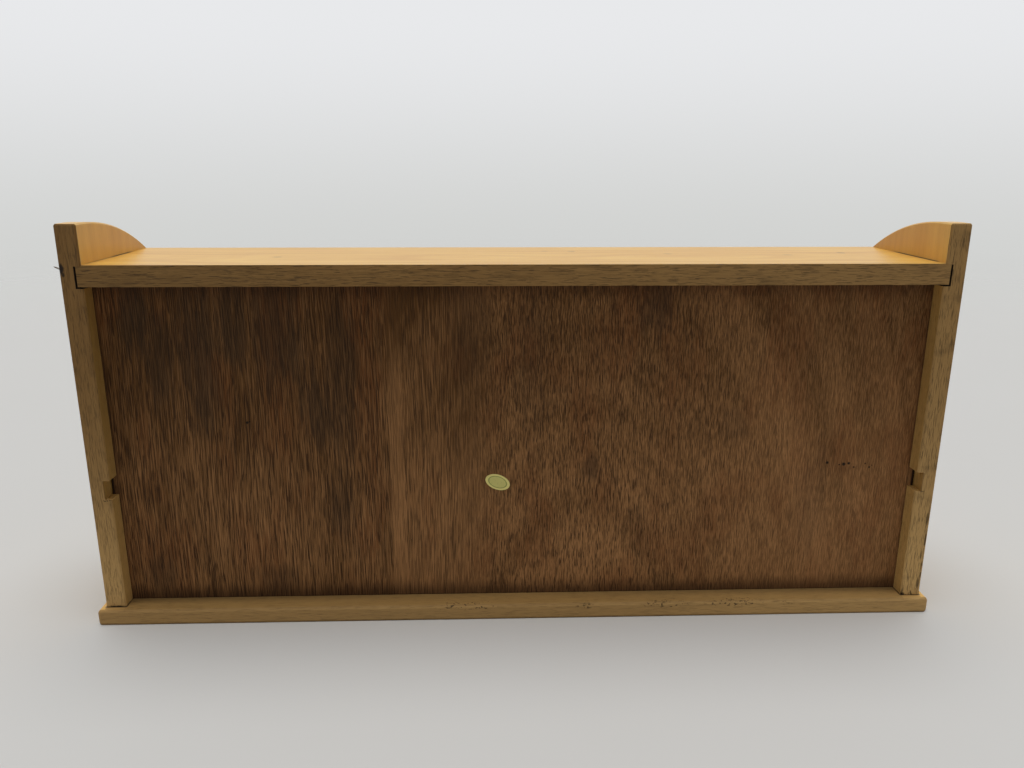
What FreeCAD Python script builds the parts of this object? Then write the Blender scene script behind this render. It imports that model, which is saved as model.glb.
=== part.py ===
import FreeCAD, Part
import os
import Sketcher

# A small wooden cabinet for music cassettes. It stands on a base board. Its top board and its
# shelf are let into housings in the two side boards, which rise above the top as rounded ears.
# A thin panel in grooves closes the back. Cassettes stand on the shelf in three bays, and three
# small drawers fill the storey below.
#
# Frame: +X to the right seen from the front, +Y to the back, +Z up, origin in the middle of
# the base board's underside. All sizes are in millimetres.

DIMENSIONS = (
    # Cabinet
    ("cabinet_width", 508, "across the outer faces of the side boards"),
    ("cabinet_depth", 94, "front edge to rear edge of the side boards"),
    ("top_level", 219, "height of the top board's upper face above the ground"),
    ("shelf_level", 80, "height of the shelf's underside above the ground"),
    ("board", 12, "thickness of the sides, the top and the shelf"),
    ("base_board", 9.5, "thickness of the base board"),
    ("base_end_overhang", 4.3, "base board beyond each side board"),
    ("base_edge_overhang", 4.5, "base board in front of and behind the side boards"),
    ("base_rounding", 3, "rounding of the base board's ends and front"),
    ("base_rear_rounding", 1.8, "rounding of the base board's rear upper edge"),
    ("ear_rise", 22.5, "height of the ears above the top board"),
    ("ear_flat", 8, "straight part of an ear's upper edge, at the rear"),
    ("ear_corner", 1.2, "rounding of an ear's rear corner"),
    ("edge_bevel", 0.8, "eased edges of the side boards, the top and the shelf"),
    ("partition", 10, "thickness of the partitions"),
    # Joints between boards
    ("housing", 4, "depth of the housings in the side boards"),
    ("housing_end_gap", 1, "between a housed board's end and the bottom of its housing"),
    ("partition_housing", 3, "depth of the housings for the partitions"),
    ("wood_fit", 0.3, "how much wider a housing is than the board in it"),
    ("tongue_relief", 0.6, "how much thinner the top board is where its ends enter the sides"),
    ("tongue_gap", 0.9, "between the top board's ends and the floors of their housings"),
    # Back panel
    ("panel", 3, "thickness of the back panel"),
    ("panel_recess", 10, "from the side boards' rear edges to the panel"),
    ("panel_groove", 4, "depth of the panel's grooves in the side boards"),
    ("panel_top_groove", 3, "depth of the panel's groove in the top board"),
    ("panel_end_gap", 0.5, "between the panel's edge and the bottom of its groove"),
    ("panel_fit", 0.2, "how much wider a groove is than the plywood in it"),
    # Drawers
    ("drawer_gap", 1, "around a drawer's front, and beside its box"),
    ("drawer_rear_gap", 1.5, "behind a closed drawer"),
    ("drawer_front", 10, "thickness of a drawer's front"),
    ("drawer_front_rounding", 1.6, "rounding of a drawer front's outer edges"),
    ("drawer_lip", 4, "what the rabbets leave of a drawer's front at its ends"),
    ("drawer_side_thickness", 6, "thickness of a drawer's sides and back"),
    ("drawer_side_drop", 16.5, "from the shelf's underside down to a drawer's sides"),
    ("drawer_bottom", 3, "thickness of a drawer's bottom"),
    ("drawer_bottom_rise", 4, "height of the bottom's underside in the drawer"),
    ("drawer_groove", 2.5, "depth of the grooves for a drawer's bottom"),
    # Knob and its screw
    ("knob_foot_diameter", 14, "across the knob's foot"),
    ("knob_foot", 2, "length of the knob's foot"),
    ("knob_neck_diameter", 10.5, "across the knob's neck"),
    ("knob_neck", 5.5, "length of the knob's neck"),
    ("knob_diameter", 22, "across the knob's head"),
    ("knob_back_diameter", 15, "across the flat back of the knob's head"),
    ("knob_back", 3.5, "length over which the knob's head widens behind its rim"),
    ("knob_rim", 3.5, "length of the knob's rim"),
    ("knob_face", 4.5, "length over which the knob's head narrows in front of its rim"),
    ("knob_face_diameter", 12, "across the flat middle of the knob's face"),
    ("screw_diameter", 3.5, "across the knob screw's shank"),
    ("screw_length", 20, "length of the knob screw's shank"),
    ("screw_head_diameter", 7, "across the knob screw's head"),
    ("screw_head", 2.2, "height of the knob screw's head"),
    ("screw_slot", 0.9, "width of the knob screw's slot"),
    ("screw_hole_spare", 1, "how much deeper the knob's hole is than the screw in it"),
    # Brads
    ("brad", 1.2, "thickness of a brad's square shank"),
    ("brad_head_width", 2.2, "width of a brad's head"),
    ("brad_head", 0.8, "thickness of a brad's head"),
    ("brad_sink", 0.4, "how far a brad's head lies below the wood's face"),
    ("side_brad", 26, "length of the brads in the side boards"),
    ("drawer_brad", 15, "length of the brads in the drawers' corners"),
    ("bottom_brad", 10, "length of the brads in the drawers' bottoms"),
    ("base_brad", 28, "length of the brads in the base board"),
    ("brad_inset", 16, "from a board's front edge, or the panel, to the nearest brad"),
    ("top_brad_rear_inset", 5, "from the top board's rear edge to its nearest brad"),
    ("drawer_brad_inset", 11, "from a drawer side's upper or lower edge to its nearest brad"),
    ("hole_fit", 0.1, "how much wider a hole is than the shank in it"),
)

BAYS = ("left", "middle", "right")
SIDES = (("left", -1), ("right", 1))

# Derived sizes, as expressions of the sheet's cells
FRONT = "(-Dims.cabinet_depth / 2)"
INNER_WIDTH = "(Dims.cabinet_width - 2 * Dims.board)"
HOUSED_WIDTH = f"({INNER_WIDTH} + 2 * Dims.housing - 2 * Dims.housing_end_gap)"
SIDE_HEIGHT = "(Dims.top_level - Dims.base_board)"
PANEL_FRONT = "(Dims.cabinet_depth - Dims.panel_recess - Dims.panel)"
PANEL_BACK = "(Dims.cabinet_depth - Dims.panel_recess)"
TOP_UNDERSIDE = "(Dims.top_level - Dims.board)"
BAY_WIDTH = f"(({INNER_WIDTH} - {len(BAYS) - 1} * Dims.partition) / {len(BAYS)})"
LOWER_HEIGHT = "(Dims.shelf_level - Dims.base_board)"
UPPER_HEIGHT = f"({TOP_UNDERSIDE} - Dims.shelf_level - Dims.board)"
DRAWER_WIDTH = f"({BAY_WIDTH} - 2 * Dims.drawer_gap)"
DRAWER_FRONT_HEIGHT = f"({LOWER_HEIGHT} - 2 * Dims.drawer_gap)"
DRAWER_SIDE_LENGTH = f"({PANEL_FRONT} - Dims.drawer_lip - Dims.drawer_rear_gap)"
DRAWER_SIDE_HEIGHT = f"({LOWER_HEIGHT} - Dims.drawer_side_drop)"
DRAWER_INNER_HALF = f"({DRAWER_WIDTH} / 2 - Dims.drawer_side_thickness)"
DRAWER_BACK_START = f"({DRAWER_SIDE_LENGTH} - Dims.drawer_side_thickness)"
DRAWER_FLOOR_TOP = "(Dims.drawer_bottom_rise + Dims.drawer_bottom)"
KNOB_HEIGHT = f"(Dims.base_board + Dims.drawer_gap + {DRAWER_FRONT_HEIGHT} / 2)"

# Holes for the brads, and their rows
SHANK_HOLE = "(Dims.brad + Dims.hole_fit)"
HEAD_HOLE = "(Dims.brad_head_width + Dims.hole_fit)"
HEAD_DEPTH = "(Dims.brad_head + Dims.brad_sink)"
SIDE_BRAD_IN_WOOD = "(Dims.side_brad + Dims.brad_sink - Dims.board + Dims.housing)"
BASE_BRAD_IN_WOOD = "(Dims.base_brad + Dims.brad_sink - Dims.base_board)"
DRAWER_BRAD_IN_WOOD = "(Dims.drawer_brad + Dims.brad_sink - Dims.drawer_side_thickness)"
BOTTOM_BRAD_IN_WOOD = "(Dims.bottom_brad + Dims.brad_sink - Dims.drawer_bottom)"
BOARD_BRAD_ROWS = ("Dims.brad_inset", f"({PANEL_FRONT} - Dims.brad_inset)")
TOP_BRAD_ROWS = ("Dims.brad_inset", "(Dims.cabinet_depth - Dims.top_brad_rear_inset)")
DRAWER_BRAD_ROWS = ("Dims.drawer_brad_inset", f"({DRAWER_SIDE_HEIGHT} - Dims.drawer_brad_inset)")
FRONT_BRAD_ROW = "(Dims.drawer_front - Dims.drawer_lip) / 2"
BACK_BRAD_ROW = f"({DRAWER_BACK_START} + Dims.drawer_side_thickness / 2)"
BOTTOM_BRAD_COLUMNS = (f"-{DRAWER_INNER_HALF} / 2", f"{DRAWER_INNER_HALF} / 2")

doc = FreeCAD.newDocument("cassette_cabinet")
sheet = doc.addObject("Spreadsheet::Sheet", "Dims")
pieces = []


def fill_sheet():
    """Write each driving dimension into the sheet, with its meaning and its alias."""
    for row, (name, size, meaning) in enumerate(DIMENSIONS, start=1):
        sheet.set(f"A{row}", meaning)
        sheet.set(f"B{row}", str(size))
        sheet.setAlias(f"B{row}", name)
    doc.recompute()


def value(expression):
    return float(sheet.evalExpression(expression))


def partition_centre(index):
    return f"(-{INNER_WIDTH} / 2 + {index + 1} * {BAY_WIDTH} + {index + 0.5} * Dims.partition)"


def bay_centre(index):
    return f"(-{INNER_WIDTH} / 2 + {index + 0.5} * {BAY_WIDTH} + {index} * Dims.partition)"


# Building blocks

def new_body(label, x, y, z):
    """Start a piece whose own origin lies at the given place in the cabinet's frame."""
    body = doc.addObject("PartDesign::Body", label)
    body.Label = label
    for axis, expression in zip("xyz", (x, y, z)):
        body.setExpression(f"Placement.Base.{axis}", expression)
    pieces.append(body)
    return body


def origin_plane(body, role):
    return next(feature for feature in body.Origin.OriginFeatures if feature.Role == role)


def new_sketch(body, plane, offset="0"):
    """Attach a sketch to one of the body's planes, moved along the plane's normal."""
    sketch = body.newObject("Sketcher::SketchObject", f"{body.Name}_sketch")
    sketch.AttachmentSupport = [(origin_plane(body, f"{plane}_Plane"), "")]
    sketch.MapMode = "FlatFace"
    sketch.setExpression("AttachmentOffset.Base.z", offset)
    return sketch


def bind(sketch, constraint, expression):
    index = sketch.addConstraint(constraint)
    sketch.setExpression(f"Constraints[{index}]", expression)


def place(sketch, geometry, point, across, up):
    """Hold a point of the sketch at a distance from the sketch's origin, both ways."""
    for kind, expression in (("DistanceX", across), ("DistanceY", up)):
        held = Sketcher.Constraint(kind, -1, 1, geometry, point, value(expression))
        bind(sketch, held, expression)


def polygon(sketch, *corners):
    """Draw a closed outline of straight lines through the corners."""
    points = [FreeCAD.Vector(value(across), value(up), 0) for across, up in corners]
    first = sketch.GeometryCount
    count = len(corners)
    for index in range(count):
        sketch.addGeometry(Part.LineSegment(points[index], points[(index + 1) % count]))
    for index, (across, up) in enumerate(corners):
        following = first + (index + 1) % count
        sketch.addConstraint(Sketcher.Constraint("Coincident", first + index, 2, following, 1))
        place(sketch, first + index, 1, across, up)


def rectangle(sketch, left, right, low, high):
    polygon(sketch, (left, low), (right, low), (right, high), (left, high))


def circle(sketch, across, up, diameter):
    middle = FreeCAD.Vector(value(across), value(up), 0)
    upright = FreeCAD.Vector(0, 0, 1)
    geometry = sketch.addGeometry(Part.Circle(middle, upright, value(diameter) / 2))
    place(sketch, geometry, 3, across, up)
    bind(sketch, Sketcher.Constraint("Diameter", geometry, value(diameter)), diameter)


def small_squares(sketch, middles, width, height):
    """Draw equal rectangles about the given places, for brads and their holes."""
    for across, up in middles:
        rectangle(sketch, f"{across} - {width} / 2", f"{across} + {width} / 2",
                  f"{up} - {height} / 2", f"{up} + {height} / 2")


def pad(body, sketch, length, backwards=False):
    """Raise the sketch along its plane's normal, or the other way."""
    feature = body.newObject("PartDesign::Pad", f"{body.Name}_pad")
    feature.Profile = sketch
    feature.setExpression("Length", length)
    feature.Reversed = backwards
    return feature


def pocket(body, sketch, depth=None, backwards=False, both_ways=False):
    """Cut the sketch against its plane's normal, or the other way; no depth means right through."""
    doc.recompute()
    before = body.Tip.Shape.Volume
    feature = body.newObject("PartDesign::Pocket", f"{body.Name}_pocket")
    feature.Profile = sketch
    feature.Reversed = backwards
    if both_ways:
        feature.SideType = "Symmetric"
    if depth is None:
        feature.Type = "ThroughAll"
    else:
        feature.setExpression("Length", depth)
    doc.recompute()
    if not feature.Shape.Volume < before:
        raise ValueError(f"{feature.Name} cuts nothing")
    return feature


def mirror(body, *features):
    """Repeat features on the other side of the body's own YZ plane."""
    feature = body.newObject("PartDesign::Mirrored", f"{body.Name}_mirror")
    feature.Originals = list(features)
    feature.MirrorPlane = (origin_plane(body, "YZ_Plane"), [""])
    body.Tip = feature


def edges_where(shape, wanted):
    """Name those edges of a shape that the test picks by their bounding box."""
    return [f"Edge{index}" for index, edge in enumerate(shape.Edges, start=1)
            if wanted(edge.BoundBox)]


def dress_edges(body, kind, size_name, size, wanted):
    doc.recompute()
    base = body.Tip
    feature = body.newObject(f"PartDesign::{kind}", f"{body.Name}_{kind}")
    feature.Base = (base, edges_where(base.Shape, wanted))
    feature.setExpression(size_name, size)


def round_edges(body, radius, wanted):
    dress_edges(body, "Fillet", "Radius", radius, wanted)


def bevel_edges(body, size, wanted):
    dress_edges(body, "Chamfer", "Size", size, wanted)


def near(first, second):
    return abs(first - second) < 0.01


def block(body, width, depth, height):
    """Pad a plain board that is centred across, with its front and underside at the origin."""
    sketch = new_sketch(body, "XY")
    rectangle(sketch, f"-{width} / 2", f"{width} / 2", "0", depth)
    return pad(body, sketch, height)


def grid(across, up):
    """Pair every place across with every place up."""
    return [(first, second) for first in across for second in up]


def brad_holes(body, plane, offset, middles, depth=None, backwards=False):
    """Cut the holes that hold the brads' shanks."""
    sketch = new_sketch(body, plane, offset)
    small_squares(sketch, middles, SHANK_HOLE, SHANK_HOLE)
    return pocket(body, sketch, depth, backwards)


def brad_seats(body, plane, offset, middles, backwards=False):
    """Cut the small seats that the brads' heads sink into."""
    sketch = new_sketch(body, plane, offset)
    small_squares(sketch, middles, SHANK_HOLE, HEAD_HOLE)
    return pocket(body, sketch, HEAD_DEPTH, backwards)


def brads(body, plane, offset, middles, length, backwards=False):
    """Pad heads and shanks that point along the plane's normal, from the heads' outer faces."""
    heads = new_sketch(body, plane, offset)
    small_squares(heads, middles, "Dims.brad", "Dims.brad_head_width")
    shanks = new_sketch(body, plane, offset)
    small_squares(shanks, middles, "Dims.brad", "Dims.brad")
    return (pad(body, heads, "Dims.brad_head", backwards), pad(body, shanks, length, backwards))


# Cabinet pieces

SHELF_BRAD_LEVEL = f"({LOWER_HEIGHT} + Dims.board / 2)"
TOP_BRAD_LEVEL = f"({TOP_UNDERSIDE} + Dims.board / 2 - Dims.base_board)"
SIDE_BRAD_PLACES = grid(BOARD_BRAD_ROWS, [SHELF_BRAD_LEVEL]) + grid(TOP_BRAD_ROWS, [TOP_BRAD_LEVEL])
BASE_BRAD_COLUMNS = [f"{hand} * (Dims.cabinet_width - Dims.board) / 2" for name, hand in SIDES]
BASE_BRAD_COLUMNS += [partition_centre(index) for index in range(len(BAYS) - 1)]


def ear_outline(sketch):
    """Draw a side board from the side: foot, rear edge, ear's flat, ear's curve, front edge."""
    depth = "Dims.cabinet_depth"
    ear_top = f"({SIDE_HEIGHT} + Dims.ear_rise)"
    flat_start = "(Dims.cabinet_depth - Dims.ear_flat)"
    radius = f"(({flat_start} ^ 2 + Dims.ear_rise ^ 2) / (2 * Dims.ear_rise))"
    front_foot = FreeCAD.Vector(0, 0, 0)
    rear_foot = FreeCAD.Vector(value(depth), 0, 0)
    rear_corner = FreeCAD.Vector(value(depth), value(ear_top), 0)
    curve_start = FreeCAD.Vector(value(flat_start), value(ear_top), 0)
    curve_end = FreeCAD.Vector(0, value(SIDE_HEIGHT), 0)
    middle = curve_start - FreeCAD.Vector(0, value(radius), 0)
    circle_of_ear = Part.Circle(middle, FreeCAD.Vector(0, 0, 1), value(radius))
    from_angle = circle_of_ear.parameter(curve_start)
    to_angle = circle_of_ear.parameter(curve_end)
    foot = sketch.addGeometry(Part.LineSegment(front_foot, rear_foot))
    rear = sketch.addGeometry(Part.LineSegment(rear_foot, rear_corner))
    flat = sketch.addGeometry(Part.LineSegment(rear_corner, curve_start))
    curve = sketch.addGeometry(Part.ArcOfCircle(circle_of_ear, from_angle, to_angle))
    front = sketch.addGeometry(Part.LineSegment(curve_end, front_foot))
    outline = (foot, rear, flat, curve, front)
    for line, following in zip(outline, outline[1:] + outline[:1]):
        sketch.addConstraint(Sketcher.Constraint("Coincident", line, 2, following, 1))
    place(sketch, foot, 1, "0", "0")
    place(sketch, rear, 1, depth, "0")
    place(sketch, flat, 1, depth, ear_top)
    place(sketch, curve, 1, flat_start, ear_top)
    place(sketch, front, 1, "0", SIDE_HEIGHT)
    bind(sketch, Sketcher.Constraint("Radius", curve, value(radius)), radius)


def side_board(name, hand):
    """Make a side board; its inner face lies in its own YZ plane and it grows outwards."""
    body = new_body(f"side_{name}", f"{hand} * {INNER_WIDTH} / 2", FRONT, "Dims.base_board")
    outline = new_sketch(body, "YZ")
    ear_outline(outline)
    pad(body, outline, "Dims.board", backwards=hand < 0)
    ear_top = value(SIDE_HEIGHT) + value("Dims.ear_rise")
    rear = value("Dims.cabinet_depth")
    round_edges(body, "Dims.ear_corner",
                lambda box: near(box.ZMin, ear_top) and near(box.YMin, rear))
    bevel_edges(body, "Dims.edge_bevel",
                lambda box: near(box.XMin, box.XMax) and not near(box.ZMax, 0))
    housings = new_sketch(body, "XZ")
    into_wood = f"{hand} * Dims.housing"
    rectangle(housings, "0", into_wood, LOWER_HEIGHT, f"{LOWER_HEIGHT} + Dims.board + Dims.wood_fit")
    rectangle(housings, "0", into_wood, f"{TOP_UNDERSIDE} - Dims.base_board - Dims.tongue_gap",
              f"{SIDE_HEIGHT} - Dims.tongue_relief")
    pocket(body, housings)
    groove = new_sketch(body, "XY")
    rectangle(groove, "0", f"{hand} * Dims.panel_groove",
              f"{PANEL_FRONT} - Dims.panel_fit / 2", f"{PANEL_BACK} + Dims.panel_fit / 2")
    pocket(body, groove, f"{TOP_UNDERSIDE} - Dims.base_board", backwards=True)
    outer_face = f"{hand} * Dims.board"
    brad_holes(body, "YZ", outer_face, SIDE_BRAD_PLACES, backwards=hand < 0)
    brad_seats(body, "YZ", outer_face, SIDE_BRAD_PLACES, backwards=hand < 0)
    foot_places = grid((f"{outer_face} / 2",), BOARD_BRAD_ROWS)
    brad_holes(body, "XY", "0", foot_places, BASE_BRAD_IN_WOOD, backwards=True)


def partition_housings(body, low, high):
    """Cut the cross grooves that hold the partitions' ends, from the front to the panel."""
    sketch = new_sketch(body, "XZ")
    half = "(Dims.partition + Dims.wood_fit) / 2"
    for index in range(len(BAYS) - 1):
        middle = partition_centre(index)
        rectangle(sketch, f"{middle} - {half}", f"{middle} + {half}", low, high)
    pocket(body, sketch, PANEL_FRONT)


def housed_board(body, depth, brad_rows):
    """Pad a board whose ends sit in the side boards, and cut the brads' holes in its ends."""
    block(body, HOUSED_WIDTH, depth, "Dims.board")
    bevel_edges(body, "Dims.edge_bevel",
                lambda box: near(box.YMax, 0) and near(box.ZMin, box.ZMax))
    places = grid(brad_rows, ("Dims.board / 2",))
    mirror(body, brad_holes(body, "YZ", f"{HOUSED_WIDTH} / 2", places, SIDE_BRAD_IN_WOOD))


def top_board():
    body = new_body("top_board", "0", FRONT, TOP_UNDERSIDE)
    housed_board(body, "Dims.cabinet_depth", TOP_BRAD_ROWS)
    tongue = new_sketch(body, "XZ")
    rectangle(tongue, f"{INNER_WIDTH} / 2", f"{HOUSED_WIDTH} / 2",
              "Dims.board - Dims.tongue_relief", "Dims.board")
    mirror(body, pocket(body, tongue))
    partition_housings(body, "0", "Dims.partition_housing")
    groove = new_sketch(body, "YZ")
    rectangle(groove, f"{PANEL_FRONT} - Dims.panel_fit / 2", f"{PANEL_BACK} + Dims.panel_fit / 2",
              "0", "Dims.panel_top_groove")
    pocket(body, groove, both_ways=True)


def middle_shelf():
    body = new_body("middle_shelf", "0", FRONT, "Dims.shelf_level")
    housed_board(body, PANEL_FRONT, BOARD_BRAD_ROWS)
    partition_housings(body, "0", "Dims.partition_housing")
    partition_housings(body, "Dims.board - Dims.partition_housing", "Dims.board")


def base_board():
    """Make the base board, which reaches past the side boards all round."""
    overhang = "Dims.base_edge_overhang"
    body = new_body("base_board", "0", f"{FRONT} - {overhang}", "0")
    width = "(Dims.cabinet_width + 2 * Dims.base_end_overhang)"
    depth = f"(Dims.cabinet_depth + 2 * {overhang})"
    block(body, width, depth, "Dims.base_board")
    rear = value(depth)
    top = value("Dims.base_board")
    round_edges(body, "Dims.base_rear_rounding",
                lambda box: near(box.YMin, rear) and near(box.ZMin, top))
    round_edges(body, "Dims.base_rounding",
                lambda box: near(box.ZMin, box.ZMax) and not near(box.XMin, -box.XMax)
                or near(box.YMax, 0) and near(box.ZMin, box.ZMax))
    places = grid(BASE_BRAD_COLUMNS, [f"{row} + {overhang}" for row in BOARD_BRAD_ROWS])
    brad_holes(body, "XY", "0", places, backwards=True)
    brad_seats(body, "XY", "0", places, backwards=True)


def back_panel():
    body = new_body("back_panel", "0", f"{FRONT} + {PANEL_FRONT}", "Dims.base_board")
    width = f"({INNER_WIDTH} + 2 * Dims.panel_groove - 2 * Dims.panel_end_gap)"
    top = f"({TOP_UNDERSIDE} + Dims.panel_top_groove - Dims.panel_end_gap - Dims.base_board)"
    block(body, width, "Dims.panel", top)


def upper_partition(name, index):
    body = new_body(f"upper_partition_{name}", partition_centre(index), FRONT,
                    "Dims.shelf_level + Dims.board - Dims.partition_housing")
    block(body, "Dims.partition", PANEL_FRONT, f"{UPPER_HEIGHT} + 2 * Dims.partition_housing")


def lower_partition(name, index):
    """Make a partition that stands on the base board, with its top end let into the shelf."""
    body = new_body(f"lower_partition_{name}", partition_centre(index), FRONT, "Dims.base_board")
    block(body, "Dims.partition", PANEL_FRONT, f"{LOWER_HEIGHT} + Dims.partition_housing")
    places = grid(("0",), BOARD_BRAD_ROWS)
    brad_holes(body, "XY", "0", places, BASE_BRAD_IN_WOOD, backwards=True)


def side_brads():
    """Make the brads that hold the top board and the shelf in the side boards."""
    body = new_body("side_brads", "0", FRONT, "Dims.base_board")
    outer_face = "Dims.cabinet_width / 2 - Dims.brad_sink"
    right = brads(body, "YZ", outer_face, SIDE_BRAD_PLACES, "Dims.side_brad", backwards=True)
    mirror(body, *right)


def base_brads():
    """Make the brads that come up through the base board."""
    body = new_body("base_brads", "0", FRONT, "0")
    places = grid(BASE_BRAD_COLUMNS, BOARD_BRAD_ROWS)
    brads(body, "XY", "Dims.brad_sink", places, "Dims.base_brad")


# Drawer pieces. A drawer's own origin is in the middle of its width, at the cabinet's front
# and on the base board.

def drawer_front(drawer, middle):
    """Make a drawer's front, with rabbets for the sides and a groove for the bottom."""
    body = new_body(f"{drawer}_front", middle, FRONT, "Dims.base_board + Dims.drawer_gap")
    block(body, DRAWER_WIDTH, "Dims.drawer_front", DRAWER_FRONT_HEIGHT)
    round_edges(body, "Dims.drawer_front_rounding", lambda box: near(box.YMax, 0))
    rabbet = new_sketch(body, "XY")
    rectangle(rabbet, DRAWER_INNER_HALF, f"{DRAWER_WIDTH} / 2", "Dims.drawer_lip",
              "Dims.drawer_front")
    mirror(body, pocket(body, rabbet, backwards=True))
    groove = new_sketch(body, "YZ")
    low = "(Dims.drawer_bottom_rise - Dims.drawer_gap)"
    rectangle(groove, "Dims.drawer_front - Dims.drawer_groove", "Dims.drawer_front",
              low, f"{low} + Dims.drawer_bottom + Dims.panel_fit")
    pocket(body, groove, both_ways=True)
    screw_hole = new_sketch(body, "XZ")
    circle(screw_hole, "0", f"{DRAWER_FRONT_HEIGHT} / 2", "Dims.screw_diameter + Dims.hole_fit")
    pocket(body, screw_hole)
    rows = [f"{row} - Dims.drawer_gap" for row in DRAWER_BRAD_ROWS]
    places = grid((f"Dims.drawer_lip + {FRONT_BRAD_ROW}",), rows)
    mirror(body, brad_holes(body, "YZ", DRAWER_INNER_HALF, places, DRAWER_BRAD_IN_WOOD))


def drawer_side(drawer, middle, name, hand):
    """Make a drawer's side; its inner face lies in its own YZ plane and it grows outwards."""
    body = new_body(f"{drawer}_side_{name}", f"{middle} + {hand} * {DRAWER_INNER_HALF}",
                    f"{FRONT} + Dims.drawer_lip", "Dims.base_board")
    outline = new_sketch(body, "YZ")
    rectangle(outline, "0", DRAWER_SIDE_LENGTH, "0", DRAWER_SIDE_HEIGHT)
    pad(body, outline, "Dims.drawer_side_thickness", backwards=hand < 0)
    groove = new_sketch(body, "XZ")
    rectangle(groove, "0", f"{hand} * Dims.drawer_groove", "Dims.drawer_bottom_rise",
              f"{DRAWER_FLOOR_TOP} + Dims.panel_fit")
    pocket(body, groove)
    outer_face = f"{hand} * Dims.drawer_side_thickness"
    places = grid((FRONT_BRAD_ROW, BACK_BRAD_ROW), DRAWER_BRAD_ROWS)
    brad_holes(body, "YZ", outer_face, places, backwards=hand < 0)
    brad_seats(body, "YZ", outer_face, places, backwards=hand < 0)


def drawer_back(drawer, middle):
    """Make a drawer's back, which stands on the bottom between the sides."""
    low = f"({DRAWER_FLOOR_TOP} + Dims.panel_fit)"
    body = new_body(f"{drawer}_back", middle,
                    f"{FRONT} + Dims.drawer_lip + {DRAWER_BACK_START}", f"Dims.base_board + {low}")
    block(body, f"(2 * {DRAWER_INNER_HALF})", "Dims.drawer_side_thickness",
          f"{DRAWER_SIDE_HEIGHT} - {low}")
    places = grid(("Dims.drawer_side_thickness / 2",), [f"{row} - {low}" for row in DRAWER_BRAD_ROWS])
    mirror(body, brad_holes(body, "YZ", DRAWER_INNER_HALF, places, DRAWER_BRAD_IN_WOOD))
    columns = grid(BOTTOM_BRAD_COLUMNS, ("Dims.drawer_side_thickness / 2",))
    brad_holes(body, "XY", "0", columns, BOTTOM_BRAD_IN_WOOD, backwards=True)


def drawer_bottom(drawer, middle):
    """Make a drawer's bottom, which slides in from behind under the back."""
    start = "(Dims.drawer_front - Dims.drawer_groove + Dims.panel_fit)"
    body = new_body(f"{drawer}_bottom", middle, f"{FRONT} + {start}",
                    "Dims.base_board + Dims.drawer_bottom_rise + Dims.panel_fit")
    width = f"(2 * ({DRAWER_INNER_HALF} + Dims.drawer_groove - Dims.panel_fit))"
    block(body, width, f"{DRAWER_SIDE_LENGTH} + Dims.drawer_lip - {start}", "Dims.drawer_bottom")
    row = f"{BACK_BRAD_ROW} + Dims.drawer_lip - {start}"
    places = grid(BOTTOM_BRAD_COLUMNS, (row,))
    brad_holes(body, "XY", "0", places, backwards=True)
    brad_seats(body, "XY", "0", places, backwards=True)


def turn(body, *profile):
    """Revolve an outline about the piece's own Y axis."""
    sketch = new_sketch(body, "XY")
    polygon(sketch, *profile)
    feature = body.newObject("PartDesign::Revolution", f"{body.Name}_turning")
    feature.Profile = sketch
    feature.ReferenceAxis = (sketch, ["V_Axis"])


def knob(drawer, middle):
    """Turn a knob with a foot, a neck and a head that narrows to a flat face."""
    body = new_body(f"{drawer}_knob", middle, FRONT, KNOB_HEIGHT)
    foot_radius = "Dims.knob_foot_diameter / 2"
    neck_radius = "Dims.knob_neck_diameter / 2"
    rim_radius = "Dims.knob_diameter / 2"
    foot = "(-Dims.knob_foot)"
    back = f"({foot} - Dims.knob_neck)"
    rim = f"({back} - Dims.knob_back)"
    face = f"({rim} - Dims.knob_rim)"
    end = f"({face} - Dims.knob_face)"
    turn(body, ("0", "0"), (foot_radius, "0"), (foot_radius, foot), (neck_radius, foot),
         (neck_radius, back), ("Dims.knob_back_diameter / 2", back), (rim_radius, rim),
         (rim_radius, face), ("Dims.knob_face_diameter / 2", end), ("0", end))
    hole = new_sketch(body, "XZ")
    circle(hole, "0", "0", "Dims.screw_diameter + Dims.hole_fit")
    depth = "Dims.screw_length - Dims.drawer_front + Dims.screw_hole_spare"
    pocket(body, hole, depth, backwards=True)


def knob_screw(drawer, middle):
    """Turn the screw that comes through the front from inside, and cut its slot."""
    body = new_body(f"{drawer}_knob_screw", middle, f"{FRONT} + Dims.drawer_front", KNOB_HEIGHT)
    shank = "Dims.screw_diameter / 2"
    rim = "Dims.screw_head_diameter / 2"
    turn(body, ("0", "Dims.screw_head"), ("0", "-Dims.screw_length"),
         (shank, "-Dims.screw_length"), (shank, "0"), (rim, "0"), (rim, "Dims.screw_head"))
    slot = new_sketch(body, "XY")
    rectangle(slot, f"-{rim}", rim, "Dims.screw_head / 2", "Dims.screw_head")
    pocket(body, slot, "Dims.screw_slot", both_ways=True)


def drawer_brads(drawer, middle):
    """Make the brads in a drawer's four corners and under its back."""
    body = new_body(f"{drawer}_brads", middle, f"{FRONT} + Dims.drawer_lip", "Dims.base_board")
    outer_face = f"{DRAWER_WIDTH} / 2 - Dims.brad_sink"
    places = grid((FRONT_BRAD_ROW, BACK_BRAD_ROW), DRAWER_BRAD_ROWS)
    right = brads(body, "YZ", outer_face, places, "Dims.drawer_brad", backwards=True)
    mirror(body, *right)
    underside = "Dims.drawer_bottom_rise + Dims.panel_fit + Dims.brad_sink"
    columns = grid(BOTTOM_BRAD_COLUMNS, (BACK_BRAD_ROW,))
    brads(body, "XY", underside, columns, "Dims.bottom_brad")


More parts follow.
